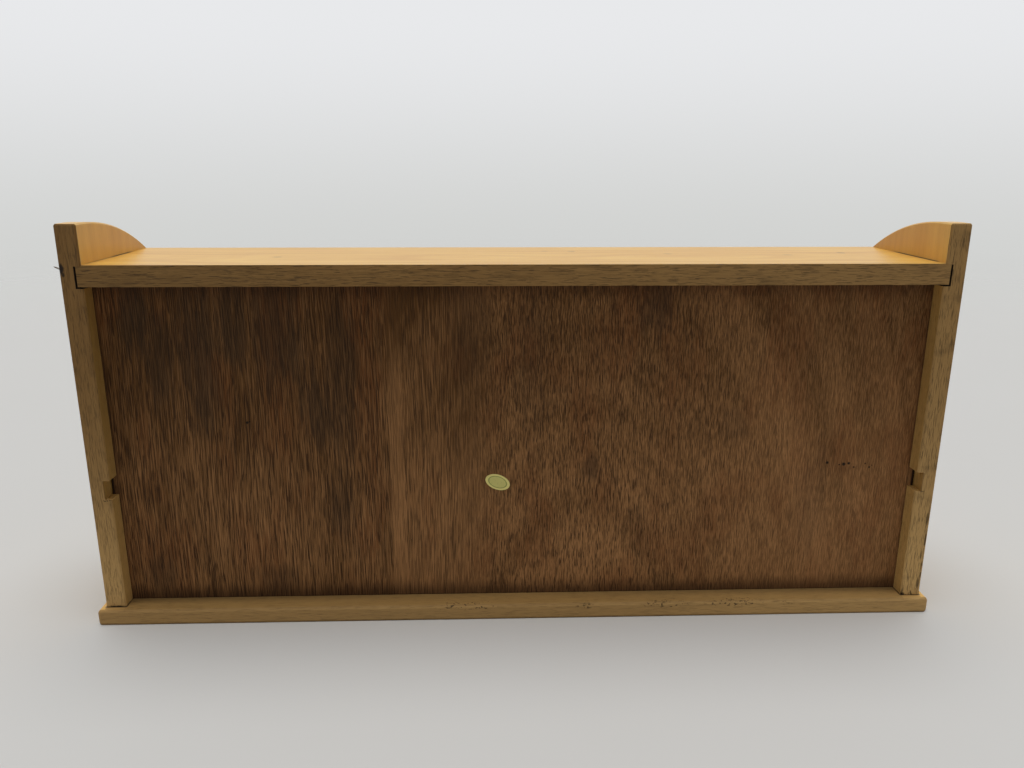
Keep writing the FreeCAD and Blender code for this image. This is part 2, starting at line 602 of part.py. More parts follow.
def drawer(name, middle):
    drawer_name = f"drawer_{name}"
    drawer_front(drawer_name, middle)
    for side_name, hand in SIDES:
        drawer_side(drawer_name, middle, side_name, hand)
    drawer_back(drawer_name, middle)
    drawer_bottom(drawer_name, middle)
    knob(drawer_name, middle)
    knob_screw(drawer_name, middle)
    drawer_brads(drawer_name, middle)


def check_document():
    """Stop if any object failed, or if a piece has no valid shape."""
    doc.recompute()
    for item in doc.Objects:
        if "Invalid" in item.State or "Error" in item.State:
            raise ValueError(f"{item.Name} failed: {item.State}")
    for piece in pieces:
        if piece.Shape.isNull() or not piece.Shape.isValid():
            raise ValueError(f"{piece.Label} has no valid shape")


def write_parts():
    os.makedirs("parts", exist_ok=True)
    for piece in pieces:
        piece.Shape.exportStep(f"parts/{piece.Label}.step")
        box = piece.Shape.optimalBoundingBox()
        print(f"{piece.Label}: {len(piece.Shape.Solids)} solid(s), {piece.Shape.Volume:.0f} mm3, "
              f"{box.XLength:.1f} x {box.YLength:.1f} x {box.ZLength:.1f} mm")


fill_sheet()
for side_name, side_hand in SIDES:
    side_board(side_name, side_hand)
top_board()
middle_shelf()
base_board()
back_panel()
for partition_index, (partition_name, _) in enumerate(SIDES):
    upper_partition(partition_name, partition_index)
    lower_partition(partition_name, partition_index)
side_brads()
base_brads()
for bay_index, bay_name in enumerate(BAYS):
    drawer(bay_name, bay_centre(bay_index))
check_document()
write_parts()
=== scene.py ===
"""Looks of a wooden cassette cabinet with three open bays over three small drawers."""
import math
import random
from functools import reduce

import bmesh
import bpy
from bpy.props import FloatProperty, FloatVectorProperty, IntProperty, PointerProperty
from mathutils import Matrix, Vector


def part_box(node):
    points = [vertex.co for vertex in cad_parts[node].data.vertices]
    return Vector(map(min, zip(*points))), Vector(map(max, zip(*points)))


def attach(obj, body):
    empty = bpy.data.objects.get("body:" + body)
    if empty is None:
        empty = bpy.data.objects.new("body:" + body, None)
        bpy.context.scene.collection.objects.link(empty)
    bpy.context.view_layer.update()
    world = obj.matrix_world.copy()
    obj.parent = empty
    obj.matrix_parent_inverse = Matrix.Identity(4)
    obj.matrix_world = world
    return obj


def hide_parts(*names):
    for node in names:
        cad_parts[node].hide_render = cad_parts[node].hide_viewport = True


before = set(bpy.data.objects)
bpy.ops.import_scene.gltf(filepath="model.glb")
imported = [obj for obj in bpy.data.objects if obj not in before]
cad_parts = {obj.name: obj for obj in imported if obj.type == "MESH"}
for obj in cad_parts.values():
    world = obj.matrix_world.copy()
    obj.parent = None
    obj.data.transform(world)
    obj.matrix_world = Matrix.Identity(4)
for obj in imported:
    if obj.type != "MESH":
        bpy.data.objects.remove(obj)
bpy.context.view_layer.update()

bl_info = {
    "name": "Cassette Cabinet",
    "version": (1, 0, 0),
    "blender": (4, 5, 0),
    "location": "3D View > Sidebar > Cabinet",
    "description": "Finishes and small pieces of a wooden cassette cabinet with three drawers",
    "category": "Object",
}

BAYS = ("left", "middle", "right")
MM = 0.001


def paint(red, green, blue):
    """Turn a colour of 0 to 255 per channel into the linear colour that a shader takes."""
    def linear(level):
        level /= 255
        return level / 12.92 if level <= 0.04045 else ((level + 0.055) / 1.055) ** 2.4
    return (linear(red), linear(green), linear(blue))


def box_mm(node):
    """Give a node's lowest and highest corners in millimetres."""
    return [[value / MM for value in corner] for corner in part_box(node)]


# Faces that several finishes share, in millimetres
REAR = box_mm("side_left")[1][1]
PANEL_BACK = box_mm("back_panel")[1][1]
PANEL_TOP = box_mm("top_board")[0][2]
INNER = box_mm("side_right")[0][0]
OUTER = box_mm("side_right")[1][0]
TOP = box_mm("top_board")[1][2]
BASE_TOP = box_mm("base_board")[1][2]
HOUSING_DEPTH = 4
HOUSING_WALL = INNER + HOUSING_DEPTH
NOTCH_LOW, NOTCH_HIGH = [corner[2] for corner in box_mm("middle_shelf")]

# Where the random draws for the grain of each kind of piece start
SEEDS = {"side_left": 11, "side_right": 12, "top": 21, "shelf": 31, "base": 41,
         "partition_left": 56, "partition_right": 61, "front": 71, "box": 81, "knob": 101}


# Settings


def shade(name, description, colour):
    return FloatVectorProperty(name=name, description=description, default=colour,
                               subtype="COLOR", size=3, min=0, max=1)


def length(name, description, default, **limits):
    return FloatProperty(name=name, description=description, default=default,
                         unit="LENGTH", subtype="DISTANCE", **limits)


def angle(name, description, degrees):
    return FloatProperty(name=name, description=description, default=math.radians(degrees),
                         unit="ROTATION", subtype="ANGLE")


class WoodSettings(bpy.types.PropertyGroup):
    varnish_light: shade("Varnish, light", "Light parts of the varnished wood", paint(228, 181, 84))
    varnish_dark: shade("Varnish, dark", "Dark parts of the varnished wood", paint(209, 155, 62))
    bare_light: shade("Bare wood, light", "Light parts of the sawn rear edges", paint(154, 118, 68))
    bare_dark: shade("Bare wood, dark", "Dark parts of the sawn rear edges", paint(106, 76, 40))
    bare_fresh: shade("Bare wood, clean", "Cleaner parts of the sawn edges", paint(198, 160, 102))
    pale_light: shade("Drawer box, light", "Light parts of the drawer boxes", paint(214, 186, 142))
    pale_dark: shade("Drawer box, dark", "Dark parts of the drawer boxes", paint(183, 148, 101))
    # The grime colour paints dirt and also painted shade in corners, gaps and recesses
    grime_and_shade: shade("Grime_And_Shade", "Dirt in pores, corners and cracks", paint(38, 28, 18))


class PanelSettings(bpy.types.PropertyGroup):
    light: shade("Veneer, light", "Light parts of the back panel", paint(161, 116, 73))
    dark: shade("Veneer, dark", "Dark parts of the back panel", paint(86, 57, 28))
    red: shade("Veneer, red", "Reddish parts of the back panel", paint(112, 66, 34))
    # The pores colour also paints shade along the panel's edges, below the top, above the base and
    # in its grooves
    pores_and_shade: shade("Veneer, pores", "Pores and corners of the back panel", paint(44, 28, 15))
    stain: shade("Veneer, stains", "Dark stains of the back panel", paint(52, 38, 25))
    seam: length("Seam", "Where the two sheets of veneer meet, from the middle", 0.078)


class KnobSettings(bpy.types.PropertyGroup):
    segments: IntProperty(name="Segments", description="Facets round a turned knob",
                          default=64, min=16, max=256)


class HardwareSettings(bpy.types.PropertyGroup):
    steel: shade("Steel", "Brads", paint(132, 126, 118))
    rust: shade("Rust", "Rust on the brads", paint(96, 58, 34))
    brass: shade("Brass", "Knob screws", paint(196, 158, 84))


class LabelSettings(bpy.types.PropertyGroup):
    width: length("Width", "Long axis of the oval label", 0.0156, min=0)
    height: length("Height", "Short axis of the oval label", 0.0096, min=0)
    place_x: length("Place across", "Middle of the label across the panel", 0.0132)
    place_z: length("Place up", "Middle of the label above the ground", 0.0851)
    tilt: angle("Tilt", "Turn of the label's long axis", 21.5)
    paper: shade("Paper", "Paper of the label", paint(222, 208, 124))
    ring: shade("Ring", "Printed ring of the label", paint(122, 134, 58))


class StageSettings(bpy.types.PropertyGroup):
    floor: shade("Floor", "Pale floor", paint(206, 205, 202))
    horizon: shade("Horizon", "Background low down", paint(209, 210, 208))
    sky: shade("Background", "Pale background above the floor", paint(232, 233, 235))
    ambient: FloatProperty(name="Ambient", description="Strength of the even light from all round",
                           default=0.32, min=0)
    overhead: FloatProperty(name="Overhead light",
                            description="Strength of the soft light from above",
                            default=2.0, min=0)
    spread: angle("Spread", "How wide the light from above is", 48)


class CabinetSettings(bpy.types.PropertyGroup):
    wood: PointerProperty(type=WoodSettings)
    panel: PointerProperty(type=PanelSettings)
    knob: PointerProperty(type=KnobSettings)
    hardware: PointerProperty(type=HardwareSettings)
    label: PointerProperty(type=LabelSettings)
    stage: PointerProperty(type=StageSettings)


def settings():
    return bpy.context.scene.cassette_cabinet


# Shader expressions


class Signal:
    """A shader socket that takes part in plain arithmetic."""

    def __init__(self, graph, socket):
        self.graph = graph
        self.socket = socket

    def __add__(self, other):
        return self.graph.math("ADD", self, other)

    def __sub__(self, other):
        return self.graph.math("SUBTRACT", self, other)

    def __rsub__(self, other):
        return self.graph.math("SUBTRACT", other, self)

    def __mul__(self, other):
        return self.graph.math("MULTIPLY", self, other)

    def __pow__(self, other):
        return self.graph.math("POWER", self, other)

    def __abs__(self):
        return self.graph.math("ABSOLUTE", self)

    __radd__ = __add__
    __rmul__ = __mul__


class Graph:
    """The nodes of one material or world, which expressions on signals add to."""

    def __init__(self, owner):
        owner.use_nodes = True
        self.owner = owner
        self.tree = owner.node_tree
        self.tree.nodes.clear()

    def node(self, kind, options=None, values=None, output=0):
        """Add a node, set its options and then its sockets, and return one of its outputs."""
        node = self.tree.nodes.new(kind)
        for name, value in (options or {}).items():
            setattr(node, name, value)
        for name, value in (values or {}).items():
            if isinstance(value, Signal):
                self.tree.links.new(value.socket, node.inputs[name])
            else:
                node.inputs[name].default_value = value
        return Signal(self, node.outputs[output]) if node.outputs else node

    def math(self, operation, *values):
        return self.node("ShaderNodeMath", {"operation": operation}, dict(enumerate(values)))

    def split(self, vector):
        """Give a vector's three parts as signals."""
        first = self.node("ShaderNodeSeparateXYZ", values={0: vector})
        return [Signal(self, socket) for socket in first.socket.node.outputs]

    def place(self):
        """Give the place on the object as three signals in millimetres."""
        coordinates = self.node("ShaderNodeTexCoord", output="Object")
        in_mm = self.node("ShaderNodeVectorMath", {"operation": "SCALE"},
                          {0: coordinates, "Scale": 1 / MM})
        return self.split(in_mm)

    def step(self, value, low, high):
        """Rise smoothly from 0 at low to 1 at high; low may be the greater one."""
        return self.node("ShaderNodeMapRange", {"interpolation_type": "SMOOTHSTEP"},
                         {"Value": value, "From Min": low, "From Max": high})

    def least(self, first, second):
        return self.math("MINIMUM", first, second)

    def most(self, *signals):
        return reduce(lambda first, second: self.math("MAXIMUM", first, second), signals)

    def noise(self, point, sizes, detail=2.0):
        """Give soft noise whose features have the given sizes along the three signals."""
        vector = self.node("ShaderNodeCombineXYZ", values={
            index: signal * (1 / size) for index, (signal, size) in enumerate(zip(point, sizes))})
        return self.node("ShaderNodeTexNoise", values={
            "Vector": vector, "Scale": 1.0, "Detail": detail})

    def bands(self, value, size, detail=1.0):
        """Give noise that varies with one signal only."""
        return self.node("ShaderNodeTexNoise", {"noise_dimensions": "1D"},
                         {"W": value * (1 / size), "Scale": 1.0, "Detail": detail})

    def mix(self, factor, first, second):
        """Mix two colours: the first where the factor is 0, the second where it is 1."""
        values = {0: factor}
        for index, colour in ((6, first), (7, second)):
            values[index] = colour if isinstance(colour, Signal) else (*colour, 1)
        return self.node("ShaderNodeMix", {"data_type": "RGBA"}, values, output=2)

    def bump(self, height, distance):
        """Raise the surface by up to a distance in millimetres."""
        return self.node("ShaderNodeBump", values={"Distance": distance * MM, "Height": height})

    def surface(self, **values):
        """Close the material with one physically based shader, whose sockets the keywords name."""
        sockets = {name.replace("_", " ").title().replace("Ior", "IOR"): value
                   for name, value in values.items()}
        shader = self.node("ShaderNodeBsdfPrincipled", values=sockets)
        self.node("ShaderNodeOutputMaterial", values={"Surface": shader})
        return self.owner


def new_graph(name):
    return Graph(bpy.data.materials.new(name))


def wear(node, material):
    """Give a node's object one material."""
    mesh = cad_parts[node].data
    mesh.materials.clear()
    mesh.materials.append(material)
    for face in mesh.polygons:
        face.material_index = 0


# Wood


class Timber:
    """Grain of one piece of wood, in the directions of its own length, width and thickness."""

    ORDER = {"X": (0, 1, 2), "Y": (1, 0, 2), "Z": (2, 1, 0)}
    # Sizes of its features in those directions, in millimetres
    FIBRE = (18, 0.5, 0.5)
    PORE = (7, 0.3, 0.3)
    CLOUD = (75, 14, 14)
    DRIFT = (170, 60, 60)
    # How far apart the rings lie and how far they drift, in millimetres
    RING_GAP = 3.1
    RING_DRIFT = 26
    # How far along the log, beside its pith and from its pith the piece is cut, in millimetres
    LOG_REACH = 900
    PITH_ASIDE = 25
    PITH_NEAR, PITH_FAR = 28, 55
    # Size of the worn patches along its edges, in millimetres
    WORN_PATCH = 5

    def __init__(self, graph, node, along, seed):
        self.graph = graph
        self.place = graph.place()
        self.low, self.high = box_mm(node)
        draw = random.Random(seed)
        order = self.ORDER[along]
        middle = [(self.low[axis] + self.high[axis]) / 2 for axis in order]
        run, wide, thick = [self.place[axis] - middle[index] for index, axis in enumerate(order)]
        run = run + draw.uniform(-self.LOG_REACH, self.LOG_REACH)
        pith_wide = draw.uniform(-self.PITH_ASIDE, self.PITH_ASIDE)
        pith_thick = draw.choice((-1, 1)) * draw.uniform(self.PITH_NEAR, self.PITH_FAR)
        point = (run, wide, thick)
        drift = graph.noise(point, self.DRIFT, detail=1) - 0.5
        wide_off = wide - pith_wide
        thick_off = thick - pith_thick
        radius = (wide_off * wide_off + thick_off * thick_off) ** 0.5 + drift * self.RING_DRIFT
        self.rings = graph.step(graph.bands(radius, self.RING_GAP, detail=2), 0.34, 0.68)
        self.fibre = graph.step(graph.noise(point, self.FIBRE), 0.3, 0.7)
        self.pores = graph.step(graph.noise(point, self.PORE, detail=1), 0.6, 0.65)
        self.cloud = graph.step(graph.noise(point, self.CLOUD), 0.3, 0.7)

    def tone(self, rings, fibre, cloud):
        """Add up the rings, fibres and clouds in the given shares."""
        return self.rings * rings + self.fibre * fibre + self.cloud * cloud

    def edges(self):
        """Give 1 along the long edges and corners of the piece's box and 0 on its faces."""
        graph = self.graph
        gaps = [graph.least(self.place[axis] - self.low[axis], self.high[axis] - self.place[axis])
                for axis in range(3)]
        nearer = graph.least(gaps[0], gaps[1])
        farther = graph.most(gaps[0], gaps[1])
        second = graph.most(nearer, graph.least(farther, gaps[2]))
        ragged = graph.noise(self.place, [self.WORN_PATCH] * 3) * 1.6
        return graph.step(second, ragged + 0.5, ragged * 0.4)


# Height over which bare wood turns from fresh to aged, and size of its smudges, in millimetres
FADE_HEIGHT = 230
SMUDGE = (22, 9, 9)
# Strength of the varnish's gloss
VARNISH_SHEEN = 0.44


def wood(name, node, along, seed, bare=None, grime_and_shade=None, pale=None, fresh=0.0, aged=0.0,
         figure=0.3, soiled=1.0):
    """Make varnished wood that turns into bare sawn wood where the bare function says so.

    The grime function says where dirt and painted shade lie, the pale function where cleaner
    bare wood lies. Fresh is how clean the bare wood is low down, aged how dark it is high up,
    figure the share of the rings in the varnished wood, and soiled the strength of the dirt in
    the bare wood.
    """
    colours = settings().wood
    graph = new_graph(name)
    grain = Timber(graph, node, along, seed)
    zone = bare(graph, grain) if bare else 0.0
    smooth = grain.tone(rings=figure, fibre=0.12, cloud=0.45) + (0.4 - figure) * 0.3
    varnish = graph.mix(smooth, colours.varnish_light[:], colours.varnish_dark[:])
    varnish = graph.mix(grain.pores * 0.14, varnish, colours.bare_dark[:])
    rubbed = grain.edges() * grain.cloud
    varnish = graph.mix(rubbed * 0.35, varnish, colours.pale_light[:])
    rough = grain.tone(rings=0.16, fibre=0.34, cloud=0.14) + 0.18
    sawn = graph.mix(rough, colours.bare_light[:], colours.bare_dark[:])
    high_up = graph.step(grain.place[2], 0, FADE_HEIGHT)
    sawn = graph.mix((1 - high_up) * (1 - high_up) * fresh, sawn, colours.bare_fresh[:])
    sawn = graph.mix(high_up * aged, sawn, colours.bare_dark[:])
    if pale:
        sawn = graph.mix(pale(graph, grain), sawn, colours.bare_fresh[:])
    sawn = graph.mix(grain.pores * 0.62 * soiled, sawn, colours.grime_and_shade[:])
    smudge = graph.step(graph.noise(grain.place, SMUDGE, detail=4), 0.56, 0.72)
    sawn = graph.mix(smudge * 0.2 * soiled, sawn, colours.grime_and_shade[:])
    colour = graph.mix(zone, varnish, sawn)
    # Dirt and painted shade where the grime function puts them, in the grime colour
    if grime_and_shade:
        colour = graph.mix(grime_and_shade(graph, grain), colour, colours.grime_and_shade[:])
    height = grain.fibre * 0.5 + grain.rings * 0.2 - grain.pores * 0.8
    return graph.surface(
        base_color=colour,
        roughness=zone * 0.2 + rubbed * 0.1 + grain.fibre * 0.06 + 0.5,
        specular_ior_level=0.2,
        coat_weight=(1 - zone) * VARNISH_SHEEN,
        coat_roughness=0.28,
        normal=graph.bump(height * (zone * 0.9 + 0.1), 0.12),
    )


def pale_wood(node, along, seed):
    """Make the plain sanded wood of a drawer's box."""
    colours = settings().wood
    graph = new_graph(node)
    grain = Timber(graph, node, along, seed)
    tone = grain.tone(rings=0.42, fibre=0.3, cloud=0.28)
    colour = graph.mix(tone, colours.pale_light[:], colours.pale_dark[:])
    colour = graph.mix(grain.pores * 0.45, colour, colours.bare_dark[:])
    return graph.surface(
        base_color=colour,
        roughness=grain.fibre * 0.12 + 0.58,
        normal=graph.bump(grain.fibre * 0.5 - grain.pores * 0.6, 0.1),
    )


def spots(graph, across, up, table, ragged):
    """Give the strength inside the listed ovals, fading to 0 at their ragged edges."""
    ovals = []
    for middle, level, half_width, half_height, strength in table:
        width = (across - middle) * (1 / half_width)
        height = (up - level) * (1 / half_height)
        ovals.append(graph.step(width * width + height * height + ragged, 1.5, 0.1) * strength)
    return graph.most(*ovals)


# Patches of dark specks along the base's rear upper edge, as ovals in millimetres: place across,
# place up, half width, half height and strength
BASE_SPECKS = ((32, 8.4, 20, 2.2, 1.0), (-41, 7.8, 6, 2, 0.8), (-91, 8.2, 15, 2.4, 1.0),
               (-135, 8.4, 20, 2.2, 1.0), (-168, 8, 5, 1.6, 0.7))

# Small dark flecks in the top's upper face, as ovals too, with the place back and the half depth
# in the second and fourth column
TOP_FLECKS = ((-205, -10, 2.4, 4.5, 1.0), (-167, 1, 3.2, 3.5, 0.6), (-35, -20, 2.6, 4, 0.7),
              (-94, -6, 3.0, 4.5, 0.5), (-18, -22, 2.4, 3.5, 0.5), (144, 8, 3.0, 3.5, 0.6))

# Chips, splits and stains of the side boards' rear faces, as ovals too
RIGHT_MARKS = ((252.8, 216.8, 1.5, 3.0, 1.0), (252.0, 214.0, 0.9, 1.5, 0.9),
               (243.2, 80.4, 0.7, 1.0, 1.0), (244.6, 80.6, 0.5, 1.4, 1.0),
               (246.1, 80.0, 0.9, 0.8, 0.9), (248, 9.4, 6.0, 1.3, 1.0))
LEFT_MARKS = ((-243.0, 10.0, 1.5, 1.9, 1.0), (-252.2, 62, 0.9, 4, 0.7), (-252.9, 48, 0.8, 5, 0.8),
              (-251.4, 38, 0.6, 4, 0.6), (-253.0, 27, 0.9, 6, 0.8), (-251.8, 18, 0.8, 4, 0.7),
              (-246.5, 79.9, 1.2, 0.5, 0.6))


def rear_edge(graph, grain):
    """Bare wood on the sawn rear face only."""
    return graph.step(grain.place[1], REAR - 1.2, REAR - 0.7)


def behind_panel(graph, y):
    """Give 1 behind the back panel and 0 in front of it."""
    return graph.step(y, PANEL_BACK - 1, PANEL_BACK)


def side_bare_zone(graph, grain):
    """Bare wood on a side's rear edge, and thin varnish with painted shade between the panel and
    that edge.
    """
    x, y, z = grain.place
    # Between the panel and the rear edge: thin varnish, darkened towards bare wood's colour as
    # painted shade, less so in the notch
    strip = graph.step(abs(x), INNER + 5, INNER + 4.5) * graph.step(z, TOP - 0.5, TOP - 1.5)
    strip = strip * graph.step(y, PANEL_BACK - 0.5, PANEL_BACK)
    strip = strip * (graph.step(abs(x), INNER + 0.8, INNER + 1.2) * 0.2 + 0.8)
    notch = graph.step(abs(x), INNER + 1.4, INNER + 1.8)
    notch = notch * graph.step(z, NOTCH_HIGH + 0.5, NOTCH_HIGH - 0.2)
    notch = notch * graph.step(z, NOTCH_LOW - 0.1, NOTCH_LOW)
    strip = strip * (1 - notch * 0.28)
    return graph.most(rear_edge(graph, grain), strip)


def base_bare_zone(graph, grain):
    """Bare wood on the base's rear face and underside, and behind the panel between the sides."""
    x, y, z = grain.place
    between = graph.step(abs(x), OUTER + 0.3, OUTER - 0.5)
    rear = graph.step(y, grain.high[1] - 2.4, grain.high[1] - 1.2)
    underside = graph.step(z, 0.4, 0.1)
    return graph.most(behind_panel(graph, y) * between * 0.88, rear, underside)


def seam_shade_and_dirt(graph, x, y):
    """Painted shade and dirt in the seams between the top and the ears, longer on the left."""
    left = graph.step(y, 42, 34) * graph.step(y, -18, -8)
    right = graph.step(y, -26, -16) * (graph.step(y, 10, 2) * 0.65 + graph.step(y, 44, 36) * 0.35)
    on_left = graph.step(x, 1, -1)
    return on_left * left + (1 - on_left) * right


def side_dirt_and_shade(graph, grain):
    """Painted shade at the foot and in the housing behind the panel, painted shade and dirt beside
    the top, and dirt in the rear face's marks.
    """
    x, y, z = grain.place
    rear = graph.step(y, REAR - 1.2, REAR - 0.4)
    behind = behind_panel(graph, y)
    uneven = graph.noise(grain.place, (3, 3, 3), detail=3)
    # Painted shade in the corner where the side meets the base, behind the panel
    foot = graph.step(z, uneven * 1.6 + BASE_TOP - 0.2, BASE_TOP) * behind
    # Painted shade and dirt in the seam beside the top
    joint = graph.step(z, TOP + 0.7, TOP + 0.2) * graph.step(z, TOP - 0.4, TOP)
    joint = joint * graph.step(abs(x), INNER + 0.8, INNER + 0.3) * seam_shade_and_dirt(graph, x, y) * 0.8
    right = grain.low[0] > 0
    table = RIGHT_MARKS if right else LEFT_MARKS
    marks = spots(graph, x, z, table, (uneven - 0.5) * 2.2) * rear
    # Painted shade in the housing behind the panel
    housing = graph.step(abs(x), HOUSING_WALL + 0.15, HOUSING_WALL + 0.05)
    housing = housing * graph.step(z, PANEL_TOP - 0.98, PANEL_TOP - 0.92)
    housing = housing * graph.step(z, TOP - 0.4, TOP - 0.7) * behind
    shade_dirt_and_marks = graph.most(foot, joint, graph.most(marks, housing))
    if right:
        return shade_dirt_and_marks
    torn = graph.step(graph.noise(grain.place, (0.8, 2, 4.5), detail=2), 0.52, 0.6)
    torn = torn * graph.step(z, uneven * 6 + BASE_TOP + 5, BASE_TOP + 2) * rear * 0.75
    frayed = graph.step(graph.noise(grain.place, (0.9, 2, 6), detail=2), 0.54, 0.62)
    frayed = frayed * graph.step(x, -OUTER + 4, -OUTER + 1.5) * graph.step(z, 85, 60) * rear * 0.32
    return graph.most(shade_dirt_and_marks, graph.most(torn, frayed))


def side_pale(graph, grain):
    """Cleaner wood on the left side's rear face, more so higher up."""
    return 0.0 if grain.low[0] > 0 else graph.step(grain.place[2], 20, 120) * 0.2 + 0.06


def top_pale(graph, grain):
    """Cleaner wood towards the left end of the top's rear edge."""
    return graph.step(grain.place[0], 60, -220) * 0.2


def base_pale(graph, grain):
    """Cleaner wood towards the base's left end and along its worn upper edge."""
    x, y, z = grain.place
    worn = graph.step(z, 6.6, 8.6) * graph.step(y, REAR + 0.8, REAR + 2.6)
    worn = worn * graph.step(graph.noise(grain.place, (34, 9, 9), detail=3), 0.34, 0.6)
    return graph.most(graph.step(x, -40, -190) * 0.48, worn * 0.15)


def base_dirt_and_shade(graph, grain):
    """Dark specks along the base's rear upper edge, and painted shade round the feet, behind the
    panel and at the ground.
    """
    x, y, z = grain.place
    rear = graph.step(y, REAR - 1, REAR + 1)
    patches = spots(graph, x, z, BASE_SPECKS, 0.0)
    specks = graph.step(graph.noise(grain.place, (2.2, 1.2, 1.2), detail=2), 0.56, 0.63)
    specks = specks * patches * rear * 0.9
    # Painted shade in the corners where the sides' feet meet the base's rear edge
    feet = graph.step(abs(x), INNER - 1.2, INNER - 0.3)
    feet = feet * graph.step(abs(x), OUTER + 1.0, OUTER + 0.2)
    feet = feet * graph.step(y, REAR + 0.8, REAR + 0.1)
    feet = feet * graph.step(z, BASE_TOP - 0.4, BASE_TOP - 0.1) * 0.8
    # Painted shade on the base's top behind the panel, deeper near the panel and towards the ends
    shadow = graph.step(y, PANEL_BACK + 9, PANEL_BACK) * (abs(x) * 0.0014 + 0.1) + 0.2
    shadow = shadow * behind_panel(graph, y) * graph.step(z, BASE_TOP - 1.4, BASE_TOP - 0.3)
    shadow = shadow * graph.step(abs(x), INNER + 0.5, INNER)
    # Painted shade along the rear face's lower edge, where it meets the ground
    ground = graph.step(z, 1.5, 0.3) * rear * 0.5
    return graph.most(specks, feet, graph.most(shadow, ground))


def top_dirt_and_shade(graph, grain):
    """Painted shade and dirt where the top meets the ears, and painted shade at the ends in their
    housings.
    """
    x, y, z = grain.place
    # Painted shade and dirt in the seams with the ears
    joint = graph.step(abs(x), INNER - 0.9, INNER - 0.3) * seam_shade_and_dirt(graph, x, y)
    upper_face = graph.step(z, TOP - 0.4, TOP - 0.1)
    joint = joint * upper_face * 0.85
    # Painted shade on the ends inside the housings
    ends = graph.step(abs(x), grain.high[0] - 0.1, grain.high[0] - 0.02) * graph.step(y, 20, 30)
    rear = rear_edge(graph, grain) * graph.step(x, 60, 220) * 0.16
    uneven = graph.noise(grain.place, (2, 2, 2), detail=3) * 2 - 1
    flecks = spots(graph, x, y, TOP_FLECKS, uneven) * upper_face * 0.36
    return graph.most(joint, ends, graph.most(rear, flecks))


def finish_board(node, along, seed, *zones, **looks):
    """Finish one node in varnished wood."""
    wear(node, wood(node, node, along, seed, *zones, **looks))


class CABINET_OT_boards(bpy.types.Operator):
    """Finish the side boards, the top, the shelf, the base and the partitions"""
    bl_idname = "cabinet.boards"
    bl_label = "Finish Boards"

    def execute(self, context):
        finish_board("side_left", "Z", SEEDS["side_left"], side_bare_zone, side_dirt_and_shade, side_pale,
                     fresh=0.98, figure=0.2)
        finish_board("side_right", "Z", SEEDS["side_right"], side_bare_zone, side_dirt_and_shade, side_pale,
                     fresh=0.78, aged=0.4, figure=0.2, soiled=0.7)
        finish_board("top_board", "X", SEEDS["top"], rear_edge, top_dirt_and_shade, top_pale, figure=0.55)
        finish_board("middle_shelf", "X", SEEDS["shelf"])
        finish_board("base_board", "X", SEEDS["base"], base_bare_zone, base_dirt_and_shade, base_pale,
                     fresh=0.46, soiled=0.42)
        for storey in ("upper", "lower"):
            finish_board(f"{storey}_partition_left", "Z", SEEDS["partition_left"])
            finish_board(f"{storey}_partition_right", "Z", SEEDS["partition_right"])
        return {"FINISHED"}


# Back panel

# Small dark pits in the veneer: place across, place up and radius, in millimetres
PITS = ((-190.1, 95.6, 0.95), (-197.7, 94.2, 0.5), (-200.5, 94.5, 1.15), (-203.6, 95.0, 0.9),
        (-207.0, 92.5, 0.55), (-213.9, 94.8, 0.5), (-216.7, 92.4, 0.6), (-218.2, 93.7, 0.35),
        (161.7, 124.6, 0.9), (160.2, 125.2, 0.5))
# Dark stains in the veneer, as ovals
STAINS = ((221, 190, 9, 26, 0.9), (209, 160, 9, 30, 0.7), (186, 168, 12, 52, 0.85),
          (166, 190, 9, 34, 0.8), (141, 186, 16, 42, 0.8), (120, 130, 10, 22, 0.8),
          (104, 150, 10, 50, 0.6), (109, 72, 8, 24, 0.65),
          (222, 26, 10, 12, 0.6), (150, 22, 13, 12, 0.6), (30, 185, 12, 40, 0.35),
          (-6, 160, 10, 52, 0.3), (-80, 193, 11, 20, 0.65), (-43.5, 92, 6, 9, 0.7),
          (-74, 50, 9, 22, 0.2), (-130, 120, 9, 12, 0.35), (-181, 70, 10, 40, 0.3))
# Sizes of the veneer's features across, through and up the sheet, in millimetres
STREAK = (0.36, 4, 20)
DASH = (0.42, 4, 5.5)
LONG_PORE = (0.36, 3, 14)
SHORT_PORE = (0.32, 2, 6)
CLOUD = (34, 30, 80)
BLUSH = (26, 20, 60)
WANDER = (90, 60, 260)
STAIN_RIM = (2.4, 8, 26)
SHADE_AND_DIRT_RIM = (7, 7, 7)
BROAD_STREAK = 5.5
RIPPLE = 1.1
# Heights between which the veneer darkens upwards, and places across between which the long
# streaks start and the short pores grow stronger, in millimetres
DARKENING = (40, 190)
LONG_GRAIN = (8, 52)
STRONG_PORES = (-190, -60)
# How far the seam's pale stripe and the painted shade below the top and above the base reach
STRIPE_WIDTH = 9
SHADE_BELOW_TOP, SHADE_ABOVE_BASE = 13, 12
# The figured sheet's arches: how far left of the middle and below the ground their centre lies,
# and the half width and height of the one whose number is 1, in millimetres
ARCH_LEFT, ARCH_BELOW = 41, 40
ARCH_WIDTH, ARCH_HEIGHT = 140, 250
# A pale arch and a dark one, with the dark field inside, by their numbers
PALE_ARCH, DARK_ARCH = 1.08, 0.46


